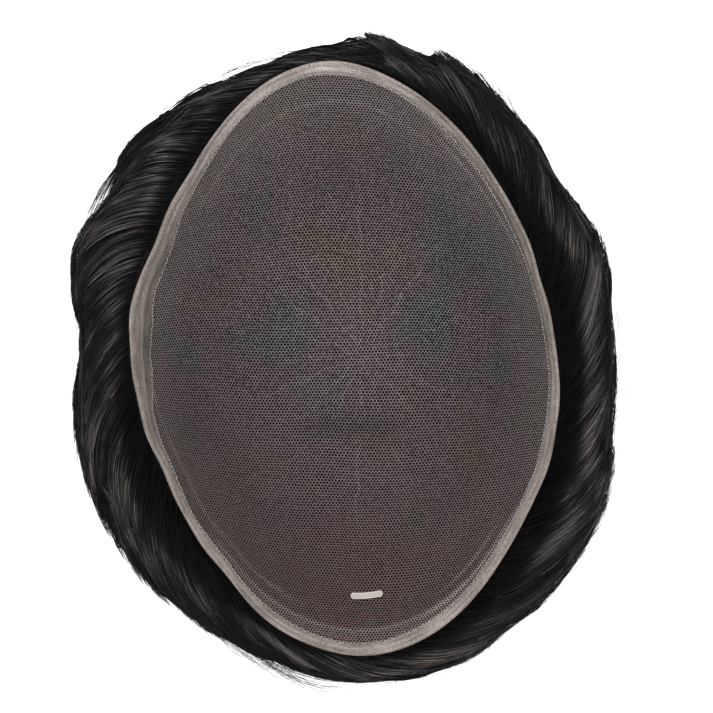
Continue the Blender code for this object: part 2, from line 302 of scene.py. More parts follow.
rng = np.random.default_rng(11)
side_arc, side_radius = wall_arc(0.0)
end_arc, end_radius = wall_arc(90.0)
row_step = NET_PITCH * 3**0.5 / 2
across_count = int(side_arc * side_radius * 1.06 / NET_PITCH)
row_count = int(end_arc * end_radius * 1.04 / row_step)
row_count += row_count % 2
row, column = np.meshgrid(
    np.arange(-row_count, row_count), np.arange(-across_count, across_count), indexing="ij"
)
hole_x = (column + 0.5 * (row % 2)) * NET_PITCH
hole_y = row * row_step
corner = NET_PITCH / 3**0.5
knot = THREAD_WIDTH / 3**0.5
flat = []
for side, turns in ((corner, (30, 150, 270)), (-corner, (90, 210, 330))):
    for turn in turns:
        turn = math.radians(turn)
        flat.append(
            np.stack([hole_x + knot * math.cos(turn), hole_y + side + knot * math.sin(turn)], -1)
        )
flat = np.stack(flat, axis=2)
flat = flat + rng.normal(0, THREAD_JITTER, flat.shape)
drift_x = NET_WARP * ripples(rng, flat[..., 0], flat[..., 1], 0.07)
drift_y = NET_WARP * ripples(rng, flat[..., 0], flat[..., 1], 0.09)
flat_x, flat_y = flat[..., 0] + drift_x, flat[..., 1] + drift_y
angle, share = laid_on_wall(flat_x, flat_y)
sag = NET_SAG * (1 + ripples(rng, flat_x, flat_y, 0.035)) * np.clip((1 - share) * 6, 0, 1)
net_points = wall_place(angle, share, -sag)
kept = (share < NET_EDGE).all(axis=2)

start = (np.arange(column.size) * 6).reshape(column.shape)
inside = np.zeros(column.shape, bool)
inside[1:-3, 1:-2] = kept[1:-3, 1:-2]
r, c = np.nonzero(inside)
right = c + (row[r, c] % 2)
own = start[r, c]
faces = [own[:, None] + [0, 1, 2], own[:, None] + [3, 4, 5]]
for rows, columns, order in (
    (r + 2, c, ((0, 0), (1, 5), (1, 4), (0, 1))),
    (r + 1, right, ((0, 2), (1, 4), (1, 3), (0, 0))),
    (r + 1, right - 1, ((1, 5), (0, 2), (0, 1), (1, 3))),
):
    here = kept[rows, columns]
    ends = (own[here], start[rows, columns][here])
    faces.append(np.stack([ends[end] + k for end, k in order], axis=1))
used, faces_flat = np.unique(np.concatenate([f.ravel() for f in faces]), return_inverse=True)
net_faces, read = [], 0
for group in faces:
    net_faces += faces_flat[read : read + group.size].reshape(group.shape).tolist()
    read += group.size
net_points = net_points.reshape(-1, 3)[used]
net_share = share.reshape(-1)[used]
net_angle = angle.reshape(-1)[used]

# Paler where the lace was folded or stretched, darker where glue has soiled it
paler = np.zeros(len(used))
away = net_points[:, :2] - CREASE_CENTRE
far = np.hypot(*away.T)
bearing = np.degrees(np.arctan2(away[:, 1], away[:, 0]))
for turn, length, strength in CREASES:
    sideways = far * np.sin(np.radians(turned_away(bearing, turn))) + 0.0006 * np.sin(far * 400 + turn)
    fade = np.clip(far / 0.006, 0, 1) * np.clip((length - far) / (0.3 * length), 0, 1)
    ahead = np.abs(turned_away(bearing, turn)) < 90
    paler += CREASE_PALENESS * strength * ahead * fade * np.exp(-((sideways / CREASE_WIDTH) ** 2))
for first, last, place, strength in FOLD_LINES:
    middle, half = (first + last) / 2, (last - first) / 2
    fade = np.clip((half - np.abs(turned_away(net_angle, middle))) / 8, 0, 1)
    sideways = (net_share - place - 0.006 * np.sin(np.radians(net_angle * 5))) / FOLD_WIDTH
    paler += strength * fade * np.exp(-(sideways**2))
smudge_x, smudge_y, smudge_long, smudge_high = SMUDGE
paler -= SMUDGE_STRENGTH * np.exp(
    -(((net_points[:, 0] - smudge_x) / smudge_long) ** 4)
    - ((net_points[:, 1] - smudge_y) / smudge_high) ** 2
)

net_uv = net_points[:, :2] / (1.05 * BASE_LENGTH) + 0.5
lace_net = add_mesh("lace_net", net_points, net_faces, net_uv)
point_values(lace_net, "paler", paler)
point_values(lace_net, "outward", net_share)

# Dyed nylon thread: mauve-grey, with soft green and brown patches and pale stretched creases,
# greyer towards the rim, and with painted shade that darkens it towards the back
lace_thread, shader = new_material("lace_thread")
place = object_place(lace_thread)
patches = node(lace_thread, "ShaderNodeTexNoise", Vector=place, Scale=38.0, Detail=2.0)
tint = ramp(
    lace_thread,
    patches.outputs["Fac"],
    ((0.32, "484D49"), (0.46, "54494E"), (0.56, "574B50"), (0.70, "554C45")),
)
grain = node(lace_thread, "ShaderNodeTexNoise", Vector=place, Scale=900.0, Detail=1.0)
grain = ramp(lace_thread, grain.outputs["Fac"], ((0.3, "A8A8A8"), (0.7, "FFFFFF")))
tint = mixed(lace_thread, 1.0, tint, grain, "MULTIPLY")
outward = node(lace_thread, "ShaderNodeAttribute", {"attribute_name": "outward"}).outputs["Fac"]
near_rim = moved_range(lace_thread, outward, (0.62, 1.0), (0.0, 0.4))
tint = mixed(lace_thread, near_rim, tint, linear("76726C"))
lengthwise = node(lace_thread, "ShaderNodeSeparateXYZ", Vector=place).outputs["Y"]
# Painted shade: the thread's colour is darkened towards the back
painted_shade_to_back = moved_range(lace_thread, lengthwise, (-0.085, 0.02), (0.78, 0.0))
tint = mixed(lace_thread, painted_shade_to_back, tint, linear("3C2D2B"))
paler_here = node(lace_thread, "ShaderNodeAttribute", {"attribute_name": "paler"}).outputs["Fac"]
tint = mixed(
    lace_thread, calculated(lace_thread, "MULTIPLY", paler_here, 0.45), tint, linear("C4B9B4")
)
darker = node(lace_thread, "ShaderNodeClamp", Value=calculated(lace_thread, "MULTIPLY", paler_here, -0.8))
tint = mixed(lace_thread, darker.outputs[0], tint, linear("2A2628"))
join_to(lace_thread, shader, Base_Color=tint, Roughness=0.7, Specular_IOR_Level=0.2)
lace_net.data.materials.append(lace_thread)
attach(lace_net, "root")
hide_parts("lace_base")


# EDGE HEM
# The raw edge of the lace is turned in over the rim, doubled on itself and sewn down.
# One closed band follows the wall, with puckers along its seam and a loose fold on the left.

HEM_THICKNESS = 0.0008
HEM_COLUMNS = 760
HEM_ROWS = 15
LIP_ROWS = 6
LIP_BACK = 0.0003  # how far the hem comes down behind the rim's edge
HEM_WOBBLE = 0.08  # how unevenly wide it is, as a share of its width
PUCKER_PITCH = 0.0034
PUCKER_DEPTH = 0.00016
RIM_WAVE = 0.00045
HEM_UNEVEN = 0.00012  # how much its face rises and falls

# How wide the hem is along the wall, how pale, and how far its outer half stands up as a fold.
# Columns: angle in degrees, width as a share of BASE_WIDTH, paleness, height of the fold in metres
HEM_SHAPE = (
    (0, 0.050, 0.48, 0.0001),
    (45, 0.042, 0.38, 0.0000),
    (68, 0.036, 0.60, 0.0000),
    (90, 0.035, 1.00, 0.0000),
    (112, 0.041, 0.85, 0.0000),
    (130, 0.054, 0.62, 0.0001),
    (155, 0.090, 0.45, 0.0003),
    (180, 0.112, 0.38, 0.0004),
    (202, 0.056, 0.46, 0.0003),
    (225, 0.034, 0.62, 0.0001),
    (250, 0.034, 0.58, 0.0001),
    (270, 0.036, 0.64, 0.0001),
    (295, 0.037, 0.60, 0.0003),
    (315, 0.040, 0.64, 0.0003),
    (338, 0.046, 0.58, 0.0002),
)

rng = np.random.default_rng(5)
hem_angle = np.arange(HEM_COLUMNS) * 360 / HEM_COLUMNS
half_arc, radius = wall_arc(hem_angle)
around = np.radians(hem_angle)
uneven = ripples(rng, np.cos(around), np.sin(around), 0.9)
uneven = uneven + 0.7 * ripples(rng, np.cos(around), np.sin(around), 0.26)
hem_width = table_value(HEM_SHAPE, hem_angle) * BASE_WIDTH * (1 + HEM_WOBBLE * uneven)
hem_bottom = 1 - hem_width / (half_arc * radius)
fold_height = table_value(HEM_SHAPE, hem_angle, 3)
wave = RIM_WAVE * ripples(rng, np.cos(around), np.sin(around), 0.42)
pucker = np.sin(around * BASE_LENGTH / 2 * 6.28 / PUCKER_PITCH + 2 * uneven)
rows, across = [wall_place(hem_angle, hem_bottom, -CLEARANCE)], [0.0]
for k in range(HEM_ROWS + 1):
    up = k / HEM_ROWS
    rounding = 1 - 0.6 * (1 - min(1.0, up * 5)) ** 2
    lift = PUCKER_DEPTH * pucker * math.exp(-(((up - 0.14) / 0.14) ** 2))
    lift += fold_height / (1 + math.exp(-(up - 0.5) * 30))
    lift += HEM_UNEVEN * ripples(rng, np.cos(around) * 6, np.sin(around) * 6 + up, 1.4, 4)
    offset = wave * up**2 - CLEARANCE - HEM_THICKNESS * rounding - lift
    rows.append(wall_place(hem_angle, hem_bottom + (1 - hem_bottom) * up, offset))
    across.append(0.08 + 0.72 * up)
top = CLEARANCE + HEM_THICKNESS
for k in range(1, LIP_ROWS + 1):
    turn = math.pi * k / (LIP_ROWS + 1)
    middle, half = (LIP_BACK - top) / 2, (LIP_BACK + top) / 2
    offset = wave + middle - half * math.cos(turn)
    rows.append(wall_place(hem_angle, np.ones(HEM_COLUMNS), offset, 0.8 * top * math.sin(turn)))
    across.append(0.8 + 0.16 * k / LIP_ROWS)
rows.append(wall_place(hem_angle, np.ones(HEM_COLUMNS), wave + LIP_BACK, CLEARANCE))
rows.append(wall_place(hem_angle, np.ones(HEM_COLUMNS), wave - CLEARANCE, CLEARANCE))
across += [0.98, 1.0]
ring_count = len(rows)
index = np.arange(ring_count * HEM_COLUMNS).reshape(ring_count, HEM_COLUMNS)
ahead = np.roll(index, -1, axis=1)
above, above_ahead = np.roll(index, -1, axis=0), np.roll(ahead, -1, axis=0)
hem_faces = np.stack([index, ahead, above_ahead, above], axis=-1)[..., ::-1].reshape(-1, 4)
hem_uv = np.stack(
    [np.tile(hem_angle / 360, ring_count), np.repeat(across, HEM_COLUMNS)], axis=-1
)
hem = add_mesh("folded_hem", np.concatenate(rows), hem_faces.tolist(), hem_uv)
paleness = np.tile(table_value(HEM_SHAPE, hem_angle, 2), ring_count)
point_values(hem, "pale", paleness)

# Doubled lace: beige-grey, finely meshed, darker at its seam and over the rim than between them, with
# painted shade in fine creases
folded_lace, shader = new_material("folded_lace")
place = object_place(folded_lace)
pale = node(folded_lace, "ShaderNodeAttribute", {"attribute_name": "pale"}).outputs["Fac"]
tint = ramp(folded_lace, pale, ((0.25, "777472"), (0.55, "8A8583"), (1.0, "A69E9D")))
uv = node(folded_lace, "ShaderNodeUVMap", {"uv_map": "OFBake"}).outputs[0]
level = node(folded_lace, "ShaderNodeSeparateXYZ", Vector=uv).outputs["Y"]
thick = ramp(
    folded_lace,
    level,
    (
        (0.02, "9A948F"),
        (0.07, "F0EAE6"),
        (0.14, "D8D2CE"),
        (0.60, "FFFFFF"),
        (0.86, "C4BEBA"),
        (0.96, "A8A29E"),
    ),
)
thin = ramp(
    folded_lace,
    level,
    (
        (0.02, "7C7773"),
        (0.08, "B8B2AE"),
        (0.40, "A29C98"),
        (0.47, "F4EEEA"),
        (0.70, "D6D0CB"),
        (0.90, "D2CCC8"),
    ),
)
thickness = moved_range(folded_lace, pale, (0.35, 0.7), (1.0, 0.0))
bands = mixed(folded_lace, thickness, thick, thin)
tint = mixed(folded_lace, 1.0, tint, bands, "MULTIPLY")
mesh_cells = node(
    folded_lace, "ShaderNodeTexVoronoi", {"feature": "DISTANCE_TO_EDGE"}, Vector=place, Scale=1050.0
)
mesh_look = ramp(folded_lace, mesh_cells.outputs["Distance"], ((0.02, "FFFFFF"), (0.32, "9A9490")))
tint = mixed(folded_lace, 0.8, tint, mesh_look, "MULTIPLY")
cloudy = node(folded_lace, "ShaderNodeTexNoise", Vector=place, Scale=70.0, Detail=3.0)
cloudy = ramp(
    folded_lace, cloudy.outputs["Fac"], ((0.3, "CFCFC6"), (0.5, "ECEAE6"), (0.7, "FFFFFF"))
)
tint = mixed(folded_lace, 0.8, tint, cloudy, "MULTIPLY")
# Painted shade: darker streaks where the hem is creased
drawn_out = node(folded_lace, "ShaderNodeMapping", Vector=uv, Scale=(44.0, 8.0, 1.0))
crease_shade = node(folded_lace, "ShaderNodeTexNoise", Vector=drawn_out.outputs[0], Scale=1.0, Detail=3.0)
crease_shade = ramp(
    folded_lace, crease_shade.outputs["Fac"], ((0.36, "A8A5A2"), (0.5, "E6E4E2"), (0.62, "FFFFFF"))
)
tint = mixed(folded_lace, 0.65, tint, crease_shade, "MULTIPLY")
bump = node(
    folded_lace,
    "ShaderNodeBump",
    Height=mesh_cells.outputs["Distance"],
    Strength=0.35,
    Distance=0.0002,
)
join_to(folded_lace, shader, Base_Color=tint, Roughness=0.72, Normal=bump.outputs[0])
join_to(folded_lace, shader, Specular_IOR_Level=0.3)
hem.data.materials.append(folded_lace)
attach(hem, "root")
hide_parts("edge_hem")


# HEM STITCHES
# A fine zigzag of machine stitches holds the hem down, close to its lower edge.
# Each stitch is a short bent bead of thread that rises out of the cloth and dips back into it.

STITCH_PITCH = 0.0014
STITCH_LENGTH = 0.0011
STITCH_THICKNESS = 0.00022
STITCH_RISE = 0.00016
STITCH_ZIGZAG = 0.0004
STITCH_PLACE = 0.10  # how far up the hem's width the row runs, as a share of it


def tubes(paths, widths, sides=3, roll=0.0):
    """Points and faces of closed tapering tubes along many paths of the same count of points."""
    count, steps = paths.shape[:2]
    along = np.gradient(paths, axis=1)
    along /= np.linalg.norm(along, axis=2, keepdims=True) + 1e-12
    side = np.cross(along, (0, 0, 1.0))
    side /= np.linalg.norm(side, axis=2, keepdims=True) + 1e-12
    upper = np.cross(side, along)
    turns = np.asarray(roll)[..., None] + np.arange(sides) * 2 * np.pi / sides
    turns = np.broadcast_to(turns, (count, sides))[:, None, :, None]
    ring = side[:, :, None] * np.cos(turns) + upper[:, :, None] * np.sin(turns)
    points = paths[:, :, None] + ring * (widths / 2)[:, :, None, None]
    index = np.arange(count * steps * sides).reshape(count, steps, sides)
    low, high = index[:, :-1], index[:, 1:]
    walls = np.stack([low, np.roll(low, -1, 2), np.roll(high, -1, 2), high], axis=-1)
    caps = np.concatenate([index[:, 0, ::-1], index[:, -1]])
    return points.reshape(-1, 3), walls.reshape(-1, 4).tolist() + caps.tolist()


ring = wall_place(hem_angle, hem_bottom + (1 - hem_bottom) * STITCH_PLACE)
length = np.linalg.norm(np.roll(ring, -1, axis=0) - ring, axis=1)
travelled = np.concatenate([[0], np.cumsum(length)])
count = int(travelled[-1] / STITCH_PITCH)
middles = (np.arange(count) + 0.5) * STITCH_PITCH
bend = np.linspace(-1, 1, 5)
places = middles[:, None] + bend * STITCH_LENGTH / 2
angles = np.interp(places, travelled, np.append(hem_angle, 360.0))
bottoms = np.interp(angles, np.append(hem_angle, 360), np.append(hem_bottom, hem_bottom[0]))
aside = STITCH_ZIGZAG * (np.arange(count) % 2 * 2 - 1)[:, None] * bend
standing = HEM_THICKNESS + CLEARANCE + STITCH_RISE * (1 - bend**2)
shares = bottoms + (1 - bottoms) * STITCH_PLACE + aside / (side_arc * side_radius)
widths = np.full(angles.shape, STITCH_THICKNESS)
points, faces = tubes(wall_place(angles, shares, -standing), widths, 4)
stitches = add_mesh("hem_stitches", points, faces)

# Pale twisted polyester sewing thread
sewing_thread, shader = new_material("sewing_thread")
place = object_place(sewing_thread)
fibre = node(sewing_thread, "ShaderNodeTexNoise", Vector=place, Scale=2400.0, Detail=2.0)
tint = ramp(sewing_thread, fibre.outputs["Fac"], ((0.3, "7A736E"), (0.7, "A69E98")))
join_to(sewing_thread, shader, Base_Color=tint, Roughness=0.6)
stitches.data.materials.append(sewing_thread)
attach(stitches, "root")


# SEWN TAPE
# A small bare tape of woven satin, sewn flat inside the back, with a thicker woven edge.
# A fine grid follows the wall, with rounded corners and a raised edge all round.

TAPE_LENGTH = 0.012
TAPE_WIDTH = 0.0028
TAPE_THICKNESS = 0.0004
TAPE_GAP = 0.0005
TAPE_ANGLE = 275.0
TAPE_PLACE = 0.766  # share of the way from the middle of the base to its back edge
TAPE_STEPS = (72, 20)

along, over = np.meshgrid(
    np.linspace(-1, 1, TAPE_STEPS[0]), np.linspace(-1, 1, TAPE_STEPS[1]), indexing="ij"
)
squareness = 1 - 0.10 * np.clip(np.abs(along) - 0.9, 0, 1) * 10 * over**4
tape_along = along * TAPE_LENGTH / 2 * squareness
tape_over = over * TAPE_WIDTH / 2 * (1 - 0.18 * np.clip((np.abs(along) - 0.93) / 0.07, 0, 1) ** 2)
rim_here = np.maximum(np.abs(over) ** 6, np.abs(along) ** 24)
tape_arc, tape_radius = wall_arc(TAPE_ANGLE)
tape_out = tape_radius * math.sin(tape_arc * TAPE_PLACE)
angles = TAPE_ANGLE + np.degrees(tape_along / tape_out)
shares = TAPE_PLACE + tape_over / (tape_arc * tape_radius)
weave = 0.00003 * np.sin(along * 150) * np.sin(over * 40)
upper = wall_place(angles, shares, -TAPE_GAP - TAPE_THICKNESS * (0.8 + 0.2 * rim_here) - weave)
lower = wall_place(angles, shares, -TAPE_GAP * np.ones_like(along))
index = np.arange(along.size).reshape(along.shape)
quads = np.stack([index[:-1, :-1], index[1:, :-1], index[1:, 1:], index[:-1, 1:]], -1).reshape(-1, 4)
edge = np.concatenate([index[:-1, 0], index[-1, :-1], index[:0:-1, -1], index[0, :0:-1]])
walls = np.stack([edge, edge + along.size, np.roll(edge, -1) + along.size, np.roll(edge, -1)], -1)
faces = quads.tolist() + (quads[:, ::-1] + along.size).tolist() + walls.tolist()
points = np.concatenate([upper.reshape(-1, 3), lower.reshape(-1, 3)])
tape_uv = np.stack([along, over], -1).reshape(-1, 2) * 0.24 + 0.25
tape_uv = np.concatenate([tape_uv, tape_uv + 0.5])
tape = add_mesh("bare_tape", points, faces, tape_uv)

# Grey-beige woven satin with a paler selvedge
woven_tape, shader = new_material("woven_tape")
uv = node(woven_tape, "ShaderNodeUVMap", {"uv_map": "OFBake"}).outputs[0]
threads = node(
    woven_tape, "ShaderNodeTexWave", {"bands_direction": "X"}, Vector=uv, Scale=30.0, Distortion=0.6
)
tint = ramp(woven_tape, threads.outputs["Fac"], ((0.2, "756E6B"), (0.8, "938B88")))
level = node(woven_tape, "ShaderNodeSeparateXYZ", Vector=uv).outputs["Y"]
selvedge = ramp(
    woven_tape,
    level,
    ((0.0, "FFFFFF"), (0.05, "FFFFFF"), (0.08, "000000"), (0.42, "000000"), (0.45, "FFFFFF")),
)
tint = mixed(woven_tape, selvedge, tint, linear("968E8C"))
bump = node(woven_tape, "ShaderNodeBump", Height=threads.outputs["Fac"], Strength=0.4, Distance=0.0001)
join_to(woven_tape, shader, Base_Color=tint, Roughness=0.5, Normal=bump.outputs[0])
tape.data.materials.append(woven_tape)
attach(tape, "root")
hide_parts("sewn_tape")


# HAIR BODY
# The dense inner hair, pressed together round the base and flat where it rests on the table.
# A merged copy of the CAD's hair, set back a little for the strands that cover it, with a groove
# along the rim, and drawn out to the edge of the hair where it comes near that.

HAIR_REACH = 0.030
BODY_SET_BACK = 0.0012
BODY_INSET = 0.0008  # how far the body stays inside the edge of the hair
VALLEY_DEPTH = 0.008  # the deepest groove between the rim and the swept hair
VALLEY_WIDTH = 0.012
# How near the hair's edge the body starts to be drawn out to it, and how near it is so in full
BODY_FILL = (0.006, 0.003)

# How deep the dark groove along the rim is.
# Columns: angle in degrees, depth as a share of VALLEY_DEPTH
VALLEY = (
    (0, 0.9),
    (30, 0.8),
    (52, 0.6),
    (75, 0.2),
    (100, 0.0),
    (160, 0.05),
    (178, 0.3),
    (195, 0.7),
    (220, 1.0),
    (250, 0.6),
    (272, 0.3),
    (300, 1.0),
    (335, 1.0),
)

# Where the hair ends, seen from above.
# Columns: angle in degrees, reach past the rim as a share of HAIR_REACH
EDGE = (
    (0, 0.68),
    (10, 0.67),
    (20, 0.80),
    (28, 0.86),
    (33, 0.76),
    (40, 0.65),
    (50, 0.73),
    (60, 0.68),
    (66, 0.72),
    (73.5, 0.63),
    (75.8, 0.26),
    (78, 0.47),
    (81, 0.54),
    (84, 0.54),
    (86.5, 0.48),
    (89, 0.35),
    (92, 0.24),
    (105, 0.20),
    (112, 0.28),
    (120, 0.50),
    (128, 0.72),
    (136, 0.84),
    (139.5, 0.84),
    (142.5, 0.66),
    (145, 0.72),
    (150, 0.83),
    (154, 0.91),
    (158, 0.93),
    (166, 0.82),
    (175, 0.66),
    (182, 0.66),
    (190, 0.77),
    (200, 0.86),
    (212, 0.95),
    (228, 0.90),
    (240, 0.73),
    (250, 0.52),
    (260, 0.39),
    (275, 0.37),
    (285, 0.45),
    (296, 0.66),
    (300, 0.62),
    (310, 0.84),
    (328, 0.98),
    (338, 0.92),
    (346, 0.74),
)

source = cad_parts["hair"]
body_mesh = source.data.copy()
hair_body = bpy.data.objects.new("hair_body", body_mesh)
bpy.context.scene.collection.objects.link(hair_body)
bpy.ops.object.select_all(action="DESELECT")
hair_body.select_set(True)
bpy.context.view_layer.objects.active = hair_body
bpy.ops.object.mode_set(mode="EDIT")
bpy.ops.mesh.select_all(action="SELECT")
bpy.ops.mesh.remove_doubles(threshold=0.00002)
bpy.ops.object.mode_set(mode="OBJECT")
body_mesh.materials.clear()
point_count = len(body_mesh.vertices)
points = np.empty(point_count * 3)
body_mesh.vertices.foreach_get("co", points)
points = points.reshape(-1, 3)
normals = np.empty(point_count * 3)
body_mesh.vertices.foreach_get("normal", normals)
normals = normals.reshape(-1, 3)
angle = np.degrees(np.arctan2(points[:, 1], points[:, 0]))
out = np.hypot(points[:, 0], points[:, 1])
past_rim = out - rim_radius(angle)
outer = np.clip((past_rim + 0.003) / 0.002, 0, 1) * (points[:, 2] > 0.002)
groove = table_value(VALLEY, angle) * VALLEY_DEPTH * np.clip(1 - past_rim / VALLEY_WIDTH, 0, 1)
high_up = np.clip((points[:, 2] - 0.035) / 0.01, 0, 1)
points[:, 2] -= outer * groove * high_up
points -= (outer * BODY_SET_BACK)[:, None] * normals
hair_edge = rim_radius(angle) + table_value(EDGE, angle) * HAIR_REACH - BODY_INSET
filled = np.clip((out - hair_edge + BODY_FILL[0]) / (BODY_FILL[0] - BODY_FILL[1]), 0, 1)
new_out = out + (hair_edge - out) * filled * (past_rim > 0.002)
points[:, :2] *= (new_out / np.maximum(out, 1e-6))[:, None]
body_mesh.vertices.foreach_set("co", points.ravel())
body_mesh.update()
body_mesh.polygons.foreach_set("use_smooth", [True] * len(body_mesh.polygons))

# Near-black hair seen as a mass: long fine streaks that run round the base
hair_mass, shader = new_material("hair_mass")
place = object_place(hair_mass)
stretched = node(hair_mass, "ShaderNodeMapping", Vector=place, Scale=(90.0, 90.0, 1400.0))
streaks = node(hair_mass, "ShaderNodeTexNoise", Vector=stretched.outputs[0], Scale=1.0, Detail=3.0)
tint = ramp(hair_mass, streaks.outputs["Fac"], ((0.3, "040404"), (0.7, "0E0C0E")))
bump = node(hair_mass, "ShaderNodeBump", Height=streaks.outputs["Fac"], Strength=0.5, Distance=0.0006)
join_to(hair_mass, shader, Base_Color=tint, Roughness=0.7, Normal=bump.outputs[0])
join_to(hair_mass, shader, Specular_IOR_Level=0.05)
body_mesh.materials.append(hair_mass)
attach(hair_body, "root")
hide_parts("hair")


# TOP HAIR
# The strands seen from above: knotted to the outside of the lace and swept one way round it,
# from the rim out to the edge of the hair. Thin tubes follow the locks' own paths in clumps.

TOP_STRANDS = 6200
TOP_CLUMPS = 150
STRAND_STEPS = 12
STRAND_WIDTH = 0.00034
CLUMPING = 0.78
LAYER_DEPTH = 0.0022  # how thick the strands lie on each other
STRAND_WAVE = 0.0008
RIM_GAP = 0.0016  # how close to the lace a strand comes
HIGHEST_HAIR = 0.975  # as a share of the rim's height
ROOT_LEVEL = 0.97  # height of the roots, as a share of the rim's
ROOT_DIP = 0.05  # how much lower they are where the groove is deepest
ROOT_RUN = 0.24  # the share of a strand in which it comes down from its root's height
TOP_LEVELS = (0.80, 0.80, 0.64)  # plain heights at root, middle and tip, as shares of the rim's
OFF_BODY = 0.9  # what share of those a strand keeps where it lies on no body
DARK_BAND = 0.34  # how far out the painted shade along the rim goes, as a share of the way to the edge
DARK_FADE = 0.22  # how far past that it fades away
EDGE_SHADE = 0.45  # how much darker painted shade makes the hair at its edge
EDGE_SHADE_FROM = 0.75  # where that starts, as a share of the way to the edge
# How many bands of painted sheen run across the hair from the rim out to its edge
SHEEN_BANDS = 1.5
BACK_LIGHT = 0.5  # how much more painted light the hair at the back gets
BACK_PLACE = (272, 22)  # middle and spread of that, in degrees
EDGE_GIVE = 0.0007  # how far past the hair's edge a strand goes before it ends

FIRST_ROOT = 82  # degrees, where the table of paths starts
# Columns: angle in degrees at the root, the middle and the tip; reach past the rim as a share of
# HAIR_REACH at the same three
SWEEP = (
    (82, 104, 128, 0.04, 0.22, 0.72),
    (96, 118, 140, -0.04, 0.46, 0.92),
    (112, 128, 141, -0.12, 0.60, 0.87),
    (125, 134, 143, -0.12, 0.54, 0.72),
    (129, 143, 158, -0.12, 0.70, 1.00),
    (138, 151, 168, -0.15, 0.76, 0.84),
    (148, 162, 179, -0.15, 0.66, 0.68),
    (156, 171, 189, -0.15, 0.54, 0.78),
    (164, 180, 199, -0.15, 0.52, 0.88),
    (174, 191, 211, -0.15, 0.62, 0.97),
    (185, 203, 223, -0.15, 0.62, 0.94),
    (197, 215, 235, -0.15, 0.60, 0.84),
    (210, 228, 247, -0.15, 0.56, 0.62),
    (224, 241, 260, -0.10, 0.42, 0.43),
    (238, 254, 274, -0.10, 0.30, 0.41),
    (254, 270, 287, 0.00, 0.28, 0.50),
    (264, 281, 299, -0.05, 0.32, 0.68),
    (275, 292, 310, -0.10, 0.42, 0.88),
    (286, 303, 321, -0.10, 0.52, 0.98),
    (297, 314, 332, -0.10, 0.60, 1.02),
    (308, 325, 343, -0.10, 0.64, 0.84),
    (319, 336, 354, -0.10, 0.56, 0.76),
    (330, 347, 365, -0.10, 0.50, 0.74),
    (341, 358, 376, -0.10, 0.50, 0.80),
    (352, 370, 387, -0.10, 0.52, 0.90),
    (361, 378, 395, -0.10, 0.56, 0.78),
    (372, 389, 406, -0.10, 0.54, 0.75),
    (382, 399, 416, -0.10, 0.52, 0.73),
    (392, 408, 424, -0.10, 0.48, 0.74),
    (402, 418, 433, -0.10, 0.44, 0.66),
    (408, 422, 434, -0.06, 0.40, 0.62),
    (413, 425, 435, -0.02, 0.34, 0.58),
    (415, 431, 444, 0.00, 0.20, 0.56),
    (423, 439, 450, 0.00, 0.22, 0.42),
    (428, 446, 464, 0.00, 0.22, 0.24),
    (434, 458, 478, 0.02, 0.20, 0.44),
)


def through_three(share, start, middle, end):
    """A value on the smooth curve that passes through three, evenly spaced."""
    return (
        (1 - share) * (1 - 2 * share) * start
        + 4 * share * (1 - share) * middle
        + share * (2 * share - 1) * end
    )


def swept(root, share):
    """The angle and the reach along the paths that start at these roots, in degrees."""
    rows = np.array(SWEEP, float)
    rows = np.concatenate([rows, rows[:1] + [[360, 360, 360, 0, 0, 0]]])
    root = FIRST_ROOT + np.mod(root - FIRST_ROOT, 360)
    columns = [np.interp(root, rows[:, 0], rows[:, k])[:, None] for k in range(6)]
    angle = through_three(share, *columns[0:3])
    return angle, through_three(share, *columns[3:6]) * HAIR_REACH


def swell(angle):
    """Where a strand's wave starts, in radians: neighbours share it, and it drifts round the base."""
    turn = np.radians(angle)
    return 2.5 * np.sin(3 * turn) + 1.8 * np.sin(7 * turn + 1) + 1.2 * np.sin(13 * turn + 2)


def strand_share(rng, clump_count, clump, own, shared):
    """A random number for each strand, partly its own and partly its clump's."""
    return own * rng.normal(0, 1, len(clump)) + shared * rng.normal(0, 1, clump_count)[clump]


def strands(name, paths, widths, tone, light, roll):
    """One joined piece of strands; the bake map holds each point's tone and its painted light and shade."""
    points, faces = tubes(paths, widths, 3, roll)
    uv = np.stack([np.broadcast_to(tone[:, None], light.shape), light], axis=-1)
    uv = np.repeat(np.clip(uv, 0.01, 0.99)[:, :, None], 3, axis=2).reshape(-1, 2)
    made = add_mesh(name, points, faces, uv)
    made.data.materials.append(hair_strand)
    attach(made, "root")
    return made


# A dark strand with a cool or a brown cast: the map's U picks its cast and V how much painted light or
# painted shade it has
hair_strand, shader = new_material("hair_strand")
uv = node(hair_strand, "ShaderNodeUVMap", {"uv_map": "OFBake"}).outputs[0]
parts = node(hair_strand, "ShaderNodeSeparateXYZ", Vector=uv)
cast = ramp(
    hair_strand,
    parts.outputs["X"],
    (
        (0.05, "121213"),
        (0.25, "28272A"),
        (0.45, "3A383B"),
        (0.62, "464240"),
        (0.78, "504A44"),
        (0.90, "5A565B"),
        (0.99, "6C5F56"),
    ),
)
# Painted light: V darkens the strand where it is in painted shade and lightens it where it has painted
# sheen
painted_lightness = ramp(
    hair_strand,
    parts.outputs["Y"],
    ((0.0, "000000"), (0.35, "3C3C3C"), (0.7, "A0A0A0"), (1.0, "FFFFFF")),
)
tint = mixed(hair_strand, 1.0, cast, painted_lightness, "MULTIPLY")
gloss = ramp(hair_strand, parts.outputs["Y"], ((0.2, "DCDCDC"), (0.8, "949494")))
join_to(hair_strand, shader, Base_Color=tint, Roughness=gloss, Specular_IOR_Level=0.08)

